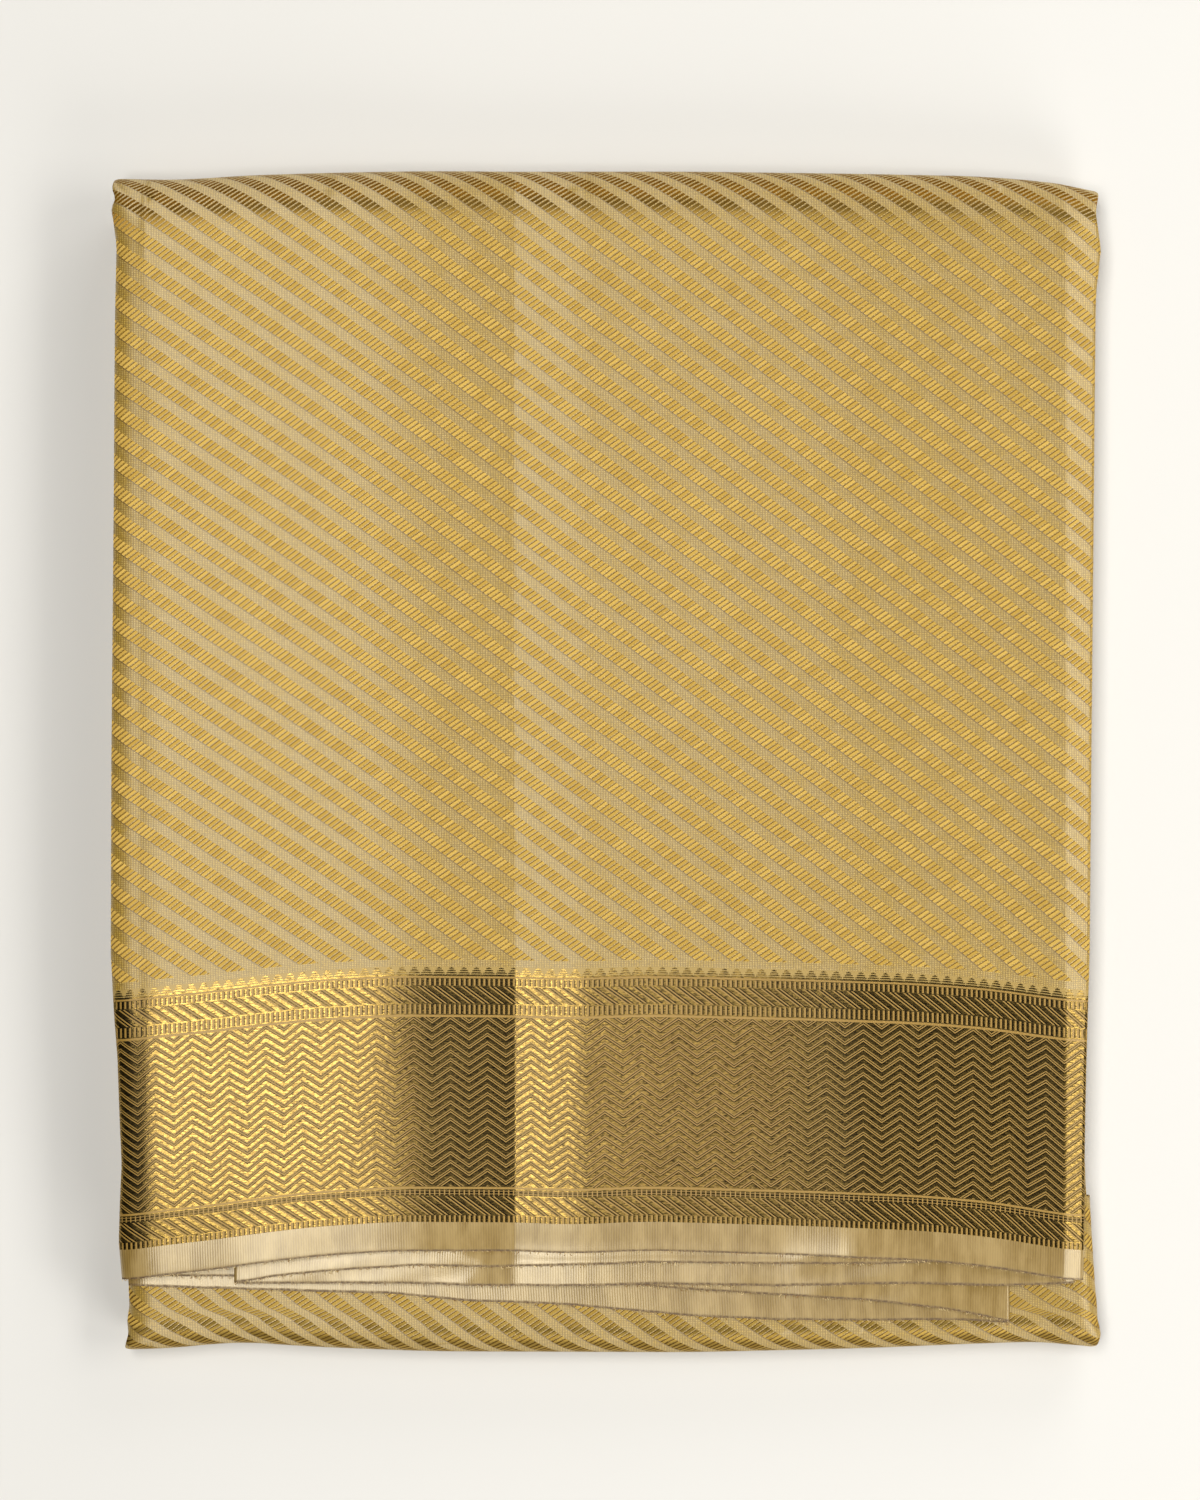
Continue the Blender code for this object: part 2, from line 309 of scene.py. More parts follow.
# The leaves share the room between the turned-up part and the panel.
LEAF_FLOOR = RETURN_TOP + 0.35
LEAF_LOWEST = LEAVES["lower_leaf"]["low"] - LEAF_SILK
LEAF_HIGHEST = LEAVES["inner_leaf"]["up"]
# The hidden stack: where its runs lie, and the rolls at its two sides.
INSET = 1.55
RUN_SPLIT = 17.9
RUN_HALF = 3.8
TOP_RUN = (-146.0, 178.0)
RETURN_RUN = (-182.0, 178.0)
ROLL_GAP = 0.35               # left free between the rolls and the outer cloth
BEVEL_CLEAR = 1.5             # the stack stops this far short at the bevel
SKIN_START = 25.0             # how far up the cloth the stack's weave begins
ROLLS = [
    # depth share, left set back, right set back
    (0.00, 0.0, 0.0),
    (0.24, 0.6, 1.0),
    (0.47, 0.1, 0.3),
    (0.74, 0.9, 0.5),
    (1.00, 0.2, 0.1),
]
ROLL_GROOVE = 1.1


# ------------------------------------------------------------- small helpers
ROUNDING = [
    # place, weight
    (-1.0, 0.25),
    (-0.5, 0.15),
    (0.0,  0.20),
    (0.5,  0.15),
    (1.0,  0.25),
]


def table(rows, x, col, reach=0.0):
    """Read of a short table, its corners rounded over the reach."""
    xs, ys = [r[0] for r in rows], [r[col] for r in rows]
    if not reach:
        return np.interp(x, xs, ys)
    return sum(w * np.interp(np.asarray(x) + k * reach, xs, ys) for k, w in ROUNDING)


def span(a, b, n):
    """The ends of n equal steps from a to b."""
    return list(np.linspace(a, b, n + 1))


def in_metres(points):
    """Points in the tables' millimetres as places in the part, in metres."""
    return (points + np.array([CENTRING[0], CENTRING[1], 0.0])) * MM


def put(name, data):
    """Puts a new object in the scene."""
    obj = bpy.data.objects.new(name, data)
    bpy.context.scene.collection.objects.link(obj)
    return obj


def ripple(x, y, seed, size):
    """A smooth unevenness from -1 to 1, with hills about `size` apart."""
    rng = np.random.default_rng(seed)
    total = 0.0
    for _ in range(7):
        a, k, ph = rng.uniform(0, 2 * math.pi), rng.uniform(0.6, 1.6), rng.uniform(0, 2 * math.pi)
        total = total + np.sin(2 * math.pi * k / size * (x * math.cos(a) + y * math.sin(a)) + ph)
    return total / 4.0


def lifts(tilts, xs):
    """Heights along x that have the tilts of a table."""
    tilt = np.interp(xs, [r[0] for r in tilts], [r[1] for r in tilts])
    tilt[(xs < tilts[0][0]) | (xs > tilts[-1][0])] = 0.0
    lift = np.concatenate([[0], np.cumsum(np.tan(np.radians(tilt))[:-1] * np.diff(xs))])
    return lift - lift.mean() + LIFT_LEVEL


LIFT_X = np.linspace(-LIFT_REACH, LIFT_REACH, 1401)
LIFT_Z = lifts(TILTS, LIFT_X)
FLUTTER_Z = lifts(FLUTTER, LIFT_X)
FLUTTER_Z = FLUTTER_Z - np.interp(LIFT_X, (-LIFT_REACH, LIFT_REACH), (FLUTTER_Z[0], FLUTTER_Z[-1]))


def lip(x):
    """Edge of the top panel."""
    return table(LIP, x, 1, LIP_ROUND)


def head(x):
    """Where the top fold starts."""
    return table(FOLD_LINES, x, 1, FOLD_ROUND) - TOP_ROLL


def foot(x):
    """Where the bottom fold starts."""
    return table(FOLD_LINES, x, 2, FOLD_ROUND) + BOTTOM_ROLL


def panel_z(x, y):
    """Height of the top panel: the old folds, slight unevenness and the
    lip sunk onto the leaves below it."""
    z = THICK + np.interp(x, LIFT_X, LIFT_Z)
    for height, seed, size in UNEVEN:
        z = z + height * ripple(x, y, seed, size)
    sink = np.clip(1 - (y - lip(x)) / SINK_REACH, 0, 1)
    for place, width, low, high, depth in DENTS:
        along = np.clip((y - low) / (high - low), 0, 1)
        z = z - depth * np.exp(-((x - place) / width) ** 2) * np.sin(math.pi * along) ** 1.5
    z = z - LIP_BEND * np.clip(1 - (y - lip(x)) / LIP_BEND_REACH, 0, 1) ** 2
    loose = np.clip(1 - (y - lip(x)) / FLUTTER_REACH, 0, 1)
    loose = loose * loose * (3 - 2 * loose)
    z = z - table(SINK, x, 1, SINK_ROUND) * sink ** 2
    return z + FLUTTER_SHARE * loose * np.interp(x, LIFT_X, FLUTTER_Z)


def shoulder(x, y):
    """How far the panel has fallen towards the top fold."""
    return SHOULDER_CURVE * np.clip(y - table(SHOULDER, x, 1), 0, SHOULDER_REACH) ** 2


def path_point(leg, t, x, depth):
    """A point on the fold path: leg 0 top run (t is y), 1 top fold, 2 bottom
    run, 3 bottom fold, 4 return (t is y); depth in from the outside."""
    x = np.asarray(x, float)
    if leg == 0:
        y = np.minimum(t, head(x))
        return y, panel_z(x, y) - depth - shoulder(x, y)
    if leg == 1:
        a, half = math.pi * t, panel_z(x, head(x)) / 2
        y = head(x) + (TOP_ROLL - depth) * math.sin(a)
        z = half + (half - depth) * math.cos(a)
        return y, z - shoulder(x, y) * (z / THICK) ** 1.5
    if leg == 2:
        return head(x) + (foot(x) - head(x)) * t, depth + 0 * x
    if leg == 3:
        a, half = math.pi * t, RETURN_TOP / 2
        return (foot(x) - (BOTTOM_ROLL - depth) * math.sin(a),
                half - (half - depth) * math.cos(a) + 0 * x)
    return np.maximum(t, foot(x)), RETURN_TOP - depth + 0 * x


def sides(leg, t):
    """Left and right edge of the packet at a place on the path."""
    out = []
    for col, x in enumerate(SIDES_AT, 1):
        top, bottom = float(head(x)), float(foot(x))
        t = min(t, top) if leg == 0 else t
        share = 0.0 if leg == 0 else (t if leg == 1 else 1.0)
        if leg == 1:
            y = top + TOP_ROLL * math.sin(math.pi * t)
        elif leg == 2:
            y = top + (bottom - top) * t
        elif leg == 3:
            y = bottom - BOTTOM_ROLL * math.sin(math.pi * t)
        else:
            y = t
        out.append(float(table(TOP_SIDES, y, col, SIDE_ROUND) * (1 - share)
                         + table(BOTTOM_SIDES, y, col, SIDE_ROUND) * share))
    return out


def section(left, right, edges, arc, flat):
    """Columns of a stretch as (x, depth): a rolled left edge, flat cloth with
    a column on each old fold, and a bevelled and rolled right edge.  The
    edges are (width, drop, turn) of the two rolls and the bevel's slope."""
    (wl, dl, tl), (wr, dr, tr), slope = edges
    meet = math.atan(slope * wr / dr)
    a, b, c = left + wl, min(BEVEL_FROM, right - wr - 1.0), right - wr * (1 - math.sin(meet))
    bevel = slope * (c - b)
    marks = [r[0] for r in TILTS]
    marks += [x + k * width for x, width, *_ in DENTS for k in (-1, -0.5, 0, 0.5, 1)]
    marks = sorted({round(x, 3) for x in marks if a + 0.8 < x < b - 0.3})
    xs = np.sort(np.concatenate([np.linspace(a, b, flat - len(marks)), marks]))
    out = [(left + wl * (1 - math.sin(s)), dl * (1 - math.cos(s)))
           for s in np.radians(span(tl, 0, arc))[:-1]]
    out += [(x, 0.0) for x in xs]
    out += [(b + (c - b) * s, bevel * (s - 0.05 * math.sin(math.pi * s))) for s in span(0, 1, 7)[1:-1]]
    out += [(right - wr * (1 - math.sin(s)), bevel + dr * (math.cos(meet) - math.cos(s)))
            for s in np.radians(span(math.degrees(meet), tr, arc))]
    return np.array(out)


# The rolled edges by place on the path, as (width, drop, turn) left and
# right and the bevel: tighter where the cloth turns over, for sharp corners.
EDGES = [
    # leg,  left,               right,              bevel
    (0.00, (9.5, 3.4, 128.0), (3.0, 1.6, 118.0), BEVEL_SLOPE),
    (1.00, (9.5, 3.4, 128.0), (3.0, 1.6, 118.0), BEVEL_SLOPE),
    (1.30, (3.0, 0.6, 92.0),  (2.5, 0.6, 92.0),  0.1),
    (1.60, (3.0, 0.6, 92.0),  (2.5, 0.6, 92.0),  0.1),
    (2.00, (9.5, 5.0, 112.0), (7.5, 5.0, 112.0), 0.0),
    (3.00, (9.5, 5.0, 112.0), (7.5, 5.0, 112.0), 0.0),
    (3.35, (3.0, 0.6, 92.0),  (2.5, 0.6, 92.0),  0.0),
    (3.65, (3.0, 0.6, 92.0),  (2.5, 0.6, 92.0),  0.0),
    (4.00, (9.5, 5.0, 112.0), (7.5, 5.0, 112.0), 0.0),
]


def edge_form(leg, t):
    """Both rolls and the bevel at a place on the path."""
    place = leg + (t if leg in (1, 2, 3) else 0.0)
    at = [row[0] for row in EDGES]

    def read(pick):
        return float(np.interp(place, at, [pick(row) for row in EDGES]))

    return (tuple(read(lambda row: row[1][k]) for k in range(3)),
            tuple(read(lambda row: row[2][k]) for k in range(3)), read(lambda row: row[3]))


# --------------------------------------------------------------- mesh makers
SHARP_FROM = math.radians(55.0)


def shell(name, points, uv, thick, materials, pick=None):
    """A thin closed shell on a grid of points (rows, columns, xyz in mm)."""
    rows, cols = points.shape[:2]
    du = np.gradient(points, axis=1)
    dv = np.gradient(points, axis=0)
    n = np.cross(du, dv)
    n /= np.maximum(np.linalg.norm(n, axis=2, keepdims=True), 1e-9)
    inner = points - thick * n
    verts = in_metres(np.concatenate([points.reshape(-1, 3), inner.reshape(-1, 3)]))
    idx = np.arange(rows * cols).reshape(rows, cols)
    quad = np.stack([idx[:-1, :-1], idx[:-1, 1:], idx[1:, 1:], idx[1:, :-1]], -1).reshape(-1, 4)
    back = quad[:, ::-1] + rows * cols
    off = rows * cols
    rim = []
    for line, flip in ((idx[0], 0), (idx[-1], 1), (idx[:, 0], 1), (idx[:, -1], 0)):
        a, b = line[:-1], line[1:]
        q = np.stack([a, a + off, b + off, b], -1)
        rim.append(q[:, ::-1] if flip else q)
    faces = np.concatenate([quad, back] + rim)
    mesh = bpy.data.meshes.new(name)
    mesh.from_pydata(verts.tolist(), [], faces.tolist())
    layer = mesh.uv_layers.new(name="cloth")
    flat_uv = np.concatenate([uv.reshape(-1, 2)] * 2) * MM
    layer.data.foreach_set("uv", flat_uv[faces.reshape(-1)].astype(np.float32).reshape(-1))
    for m in materials:
        mesh.materials.append(m)
    if pick is not None:
        v = flat_uv[faces, 1].mean(axis=1) / MM
        mesh.polygons.foreach_set("material_index", pick(v).astype(np.int32))
    mesh.shade_smooth()
    mesh.set_sharp_from_angle(angle=SHARP_FROM)
    mesh.update()
    return put(name, mesh)


def arc_length(points, axis, start):
    """Running length along an axis of a grid, zero at the start index."""
    step = np.linalg.norm(np.diff(points, axis=axis), axis=2)
    zero = np.zeros_like(np.take(step, [0], axis=axis))
    run = np.concatenate([zero, np.cumsum(step, axis=axis)], axis=axis)
    return run - np.take(run, [start], axis=axis)


def weft_place(x, y):
    """Distance of a point of the top panel from the lip, along the warp."""
    d = y - lip(x)
    arch = lip(x) - LIP_LEVEL
    bow = np.where(x < 0, table(BOW, d, 1), table(BOW, d, 2))
    ease = np.clip(d - EASE_FROM, 0, None)
    return d + (1 - bow) * arch + EASE[0] * ease - EASE[1] * ease ** 2


def stretch(rows_of_path, flat=150, arc=12):
    """The outer cloth over a list of (leg, t) rows; t may be a function of
    x on the top run.  Returns the grid and its place along the weft."""
    grid = []
    for leg, t in rows_of_path:
        if callable(t):
            left, right = (sides(leg, float(t(np.array(x))))[k] for k, x in enumerate(ROW_ENDS))
        else:
            left, right = sides(leg, t)
        sec = section(left, right, edge_form(leg, 0.0 if callable(t) else t), arc, flat)
        x, depth = sec[:, 0], sec[:, 1]
        y, z = path_point(leg, t(x) if callable(t) else t, x, depth)
        grid.append(np.stack([x, y, z], -1))
    grid = np.array(grid)
    centre = int(np.argmin(np.abs(grid[0, :, 0])))
    u = arc_length(grid, 1, centre) + grid[:, centre:centre + 1, 0]
    return grid, u


def cloth_uv(rows_of_path, grid, u):
    """Along the weft and along the warp: by the weft's bow on the top run,
    then by length round the folds."""
    v = weft_place(grid[..., 0], grid[..., 1])
    last = max(i for i, (leg, _) in enumerate(rows_of_path) if leg == 0)
    if last < len(grid) - 1:
        run = arc_length(grid[..., 1:], 0, last)
        mid = run[:, len(run[0]) // 2][:, None]
        v[last:] = v[last] + mid[last:]
        turned = np.array([leg >= 3 for leg, _ in rows_of_path])[:, None]
        v = v - turned * RETURN_LEAN * np.clip(RETURN_LEAN_TO - grid[..., 0], 0, None)
    return np.stack([u, v], -1)


# ----------------------------------------------------------------- materials
def srgb(code):
    """An sRGB hex value as linear RGBA."""
    c = [int(code[i:i + 2], 16) / 255 for i in (1, 3, 5)]
    return tuple(x / 12.92 if x <= 0.04045 else ((x + 0.055) / 1.055) ** 2.4 for x in c) + (1.0,)


MATH, VEC, MIX = "ShaderNodeMath", "ShaderNodeVectorMath", "ShaderNodeMix"
RANGE, NOISE = "ShaderNodeMapRange", "ShaderNodeTexNoise"


def add(tree, kind, links=(), **settings):
    """Adds one node with its settings and links.  Links go by the names of
    the sockets, or in the order of those in use, and each is a node, a socket
    or a plain value.  Returns the node."""
    node = tree.nodes.new(kind)
    for key, value in settings.items():
        setattr(node, key, value)
    if isinstance(links, dict):
        pairs = [(node.inputs[key], value) for key, value in links.items()]
    else:
        pairs = zip([socket for socket in node.inputs if socket.enabled], links)
    for socket, value in pairs:
        if isinstance(value, bpy.types.Node):
            value = next(out for out in value.outputs if out.enabled)
        if isinstance(value, bpy.types.NodeSocket):
            tree.links.new(value, socket)
        else:
            socket.default_value = value
    return node


def new_material(name):
    """An empty material and its tree."""
    mat = bpy.data.materials.new(name)
    mat.use_nodes = True
    tree = mat.node_tree
    tree.nodes.clear()
    return mat, tree


def place_in_cloth(tree):
    """The cloth's own coordinates in millimetres: vector, along, up."""
    uv = add(tree, "ShaderNodeUVMap", uv_map="cloth")
    mm = add(tree, VEC, [uv, 1 / MM], operation="SCALE")
    parts = add(tree, "ShaderNodeSeparateXYZ", [mm])
    return mm, parts.outputs["X"], parts.outputs["Y"]


def place_in_part(tree):
    """Place in the part, in millimetres."""
    spot = add(tree, "ShaderNodeTexCoord")
    return add(tree, VEC, [spot.outputs["Object"], 1 / MM], operation="SCALE")


def thread_direction(tree, crossed):
    """The way the threads lie: along the weft, or across it where the mask
    is 1."""
    weft = add(tree, "ShaderNodeTangent", direction_type="UV_MAP", uv_map="cloth")
    normal = add(tree, "ShaderNodeNewGeometry").outputs["Normal"]
    warp = add(tree, VEC, [normal, weft], operation="CROSS_PRODUCT")
    return add(tree, MIX, [crossed, weft, warp], data_type="VECTOR")


def ribs(tree, source, pitch):
    """Soft ribs as waves from 0 to 1."""
    turn = add(tree, MATH, [source, 2 * math.pi / pitch], operation="MULTIPLY")
    turn = add(tree, MATH, [turn], operation="SINE")
    return add(tree, MATH, [turn, 0.5, 0.5], operation="MULTIPLY_ADD")


# Bump reads heights in millimetres, and every weave shines across its threads.
RELIEF = {"Strength": 0.4, "Distance": MM}
SHEEN = {"Anisotropic": 0.9, "Anisotropic Rotation": 0.25, "Specular IOR Level": 1.0}

# Stripes: 7.32 mm across, leaning down to the right, half of each a row of
# zari dashes 1.53 mm apart.  The silk's own threads are about 0.1 mm apart,
# too fine to show, so its ground is drawn as coarser ribs and picks.
STRIPE = 7.32
STRIPE_LEAN = math.atan(0.736)
STRIPE_START = 0.47
STRIPES_FROM = 100.2
BAND_SHARE = 0.53
BAND_WANDER = 0.05
DASH = 1.53
DASH_LEAN = math.radians(34.5)
DASH_SHARE = 0.62
RIB = 0.88
RIB_HEIGHT = 0.04
PICK = 0.62
# Middle and reach of what lies beside the floats, as shares of a dash: the
# rim of painted shade at each float's edge, and the whole gap, painted dark
# at the front fold; then of the line where a band starts.
DASH_RIM = (0.70, 0.08)
DASH_GAP = (0.81, 0.19)
BAND_LINE = (0.985, 0.03)
# Heights between which the painted shade between the near fold's floats grows,
# and the places along the cloth where the painted shade on the far fold's
# floats comes and goes.
NEAR_SHADE = (18.9, 16.0)
FAR_SHADE_COMES = (353.0, 362.0)
FAR_SHADE_GOES = (410.0, 395.0)


def striped_silk():
    """Mulberry silk, jacquard woven: a soft cream ground, faintly ribbed,
    with floats of metal-wrapped thread that flash or go brown with tilt;
    shade is painted in between the floats and over the folds."""
    mat, t = new_material("cream silk with zari stripes")
    mm, along, up = place_in_cloth(t)
    place = add(t, "ShaderNodeSeparateXYZ", [place_in_part(t)])
    stripe_way = (math.sin(STRIPE_LEAN) / STRIPE, math.cos(STRIPE_LEAN) / STRIPE, 0)
    dash_way = (-math.sin(DASH_LEAN) / DASH, math.cos(DASH_LEAN) / DASH, 0)
    uneven = add(t, NOISE, {"Vector": mm, "Scale": 0.9, "Detail": 2.0})
    band_at = add(t, VEC, [mm, stripe_way], operation="DOT_PRODUCT")
    band_at = add(t, MATH, [uneven, BAND_WANDER, band_at], operation="MULTIPLY_ADD")
    band_at = add(t, MATH, [band_at, STRIPE_START], operation="ADD")
    dash_at = add(t, VEC, [mm, dash_way], operation="DOT_PRODUCT")
    band_part = add(t, MATH, [band_at], operation="FRACT")
    dash_part = add(t, MATH, [dash_at], operation="FRACT")
    started = add(t, MATH, [up, STRIPES_FROM], operation="GREATER_THAN")
    band = add(t, MATH, [band_part, BAND_SHARE], operation="LESS_THAN")
    band = add(t, MATH, [band, started], operation="MULTIPLY")
    dash = add(t, MATH, [dash_part, DASH_SHARE], operation="LESS_THAN")
    zari = add(t, MATH, [band, dash], operation="MULTIPLY")
    # over the folds the floats stand apart: painted shade between them at the
    # front fold; on the far fold the floats are painted deep brown as shade, and
    # pale silk shows between them
    front = add(t, MATH, [place.outputs["Y"], 0.0], operation="LESS_THAN")
    shaded = add(t, RANGE, [place.outputs["Z"], *NEAR_SHADE])
    shaded = add(t, MATH, [shaded, front], operation="MULTIPLY")
    far_fold_shade = add(t, MATH, [add(t, RANGE, [up, *FAR_SHADE_COMES]), add(t, RANGE, [up, *FAR_SHADE_GOES])],
                  operation="MULTIPLY")
    outside_far_fold_shade = add(t, MATH, [1.0, far_fold_shade], operation="SUBTRACT")
    # a rim of painted shade along the edge of each float
    rim = add(t, MATH, [dash_part, *DASH_RIM], operation="COMPARE")
    rim = add(t, MATH, [rim, outside_far_fold_shade], operation="MULTIPLY")
    wide = add(t, MATH, [dash_part, *DASH_GAP], operation="COMPARE")
    wide = add(t, MATH, [wide, shaded], operation="MULTIPLY")
    gap_shade = add(t, MATH, [rim, wide], operation="MAXIMUM")
    gap_shade = add(t, MATH, [band, gap_shade], operation="MULTIPLY")
    # one shade for each dash, and a dark line where a band starts
    band_count = add(t, MATH, [band_at], operation="FLOOR")
    dash_count = add(t, MATH, [dash_at], operation="FLOOR")
    cell = add(t, "ShaderNodeCombineXYZ", [band_count, dash_count])
    shade = add(t, "ShaderNodeTexWhiteNoise", {"Vector": cell}, noise_dimensions="2D")
    start = add(t, MATH, [band_part, *BAND_LINE], operation="COMPARE")
    start = add(t, MATH, [start, started], operation="MULTIPLY")
    # ribs and picks of the ground
    grid = add(t, MATH, [ribs(t, along, RIB), ribs(t, up, PICK)], operation="MULTIPLY")
    drift = add(t, NOISE, {"Vector": mm, "Scale": 0.13, "Detail": 4.0, "Roughness": 0.7})
    drift = add(t, RANGE, [drift, 0.4, 0.6])
    speck = add(t, NOISE, {"Vector": mm, "Scale": 1.1, "Detail": 2.0, "Roughness": 0.8})
    speck = add(t, RANGE, [speck, 0.35, 0.65])
    olive = add(t, MIX, [grid, srgb("#93701a"), srgb("#d6b44a")], data_type="RGBA")
    rosy = add(t, MIX, [grid, srgb("#95742e"), srgb("#d8bc6c")], data_type="RGBA")
    ground = add(t, MIX, [drift, olive, rosy], data_type="RGBA")
    dull = add(t, MIX, [0.5, ground, srgb("#5e4b20")], data_type="RGBA")
    ground = add(t, MIX, [speck, ground, dull], data_type="RGBA")
    # painted shade in the gaps between the floats
    ground = add(t, MIX, [gap_shade, ground, srgb("#70501b")], data_type="RGBA")
    ground = add(t, MIX, [start, ground, srgb("#6e5422")], data_type="RGBA")
    gold = add(t, MIX, [shade, srgb("#b79647"), srgb("#caaa59")], data_type="RGBA")
    # painted shade: the far fold's floats go deep brown
    gold = add(t, MIX, [far_fold_shade, gold, srgb("#94691f")], data_type="RGBA")
    colour = add(t, MIX, [zari, ground, gold], data_type="RGBA")
    # the ground's ribs stand up, the floats lie smooth
    # the painted shade in the gaps is drawn as dark metal, so it takes no silk gloss
    metal = add(t, MATH, [zari, gap_shade], operation="MAXIMUM")
    silk = add(t, MATH, [1.0, metal], operation="SUBTRACT")
    height = add(t, MATH, [grid, RIB_HEIGHT], operation="MULTIPLY")
    height = add(t, MATH, [silk, height], operation="MULTIPLY")
    shader = add(t, "ShaderNodeBsdfPrincipled", {
        **SHEEN, "Base Color": colour, "Metallic": metal, "Roughness": 0.6,
        "IOR": 1.84, "Specular Tint": (1.0, 0.94, 0.76, 1.0),
        "Normal": add(t, "ShaderNodeBump", {**RELIEF, "Height": height}),
        "Tangent": thread_direction(t, metal)})
    add(t, "ShaderNodeOutputMaterial", [shader])
    return mat


# The border's chart, by distance above the lip.
CHART = [
    # row,         low,  high
    ("bars",       10.3, 12.6),
    ("hatch",      12.8, 19.2),
    ("dots",       19.5, 21.4),
    ("line",       21.7, 22.4),
    ("chevrons",   22.6, 80.4),
    ("line",       80.5, 81.3),
    ("bars",       81.6, 84.8),
    ("hatch",      85.2, 91.0),
    ("bars",       91.3, 93.7),
    ("line",       93.9, 94.5),
    ("temple",     95.0, 97.75),
]
ZIGZAG = 12.65                # from peak to peak of a chevron row
ZIGZAG_RISE = 8.8             # twice its height
ZIGZAG_START = -0.27
CHEVRON = 2.9                 # from row to row
CREASE_SHIFT = -2.3           # the chart moves along by this past the old crease
SLANT = 4.9                   # between pairs of slanted lines
SLANT_LEAN = 1.36
BAR = 1.69                    # from bar to bar, and from dot to dot
DOT_ROW = 0.95
TEMPLE = 4.25                 # from peak to peak of the triangles
TEMPLE_SLOPE = 1 / 6.2
TEMPLE_STEP = 0.8
# What shows in one repeat of a row, as shares of it: lines as the share
# they take, and what lies further on as its middle and reach.
CHEVRON_LINE = 0.15
CHEVRON_SECOND = (0.36, 0.07)
CHEVRON_TROUGH = 0.47
SLANT_LINE = 0.14
SLANT_SECOND = (0.40, 0.07)
SLANT_TROUGHS = ((0.24, 0.09), (0.54, 0.07))
BAR_LINE = 0.40
BAR_TROUGH = (0.54, 0.14)
DOT_GAP, DOT_ROW_GAP = 0.25, 0.2
TEMPLE_EDGE, TEMPLE_BAR = 0.04, 0.3
# How far the troughs between raised floats are painted dark: painted shade.
TROUGH_SHADE = 0.8
SILK_RISE = 0.06              # the silk lines stand this far above the metal


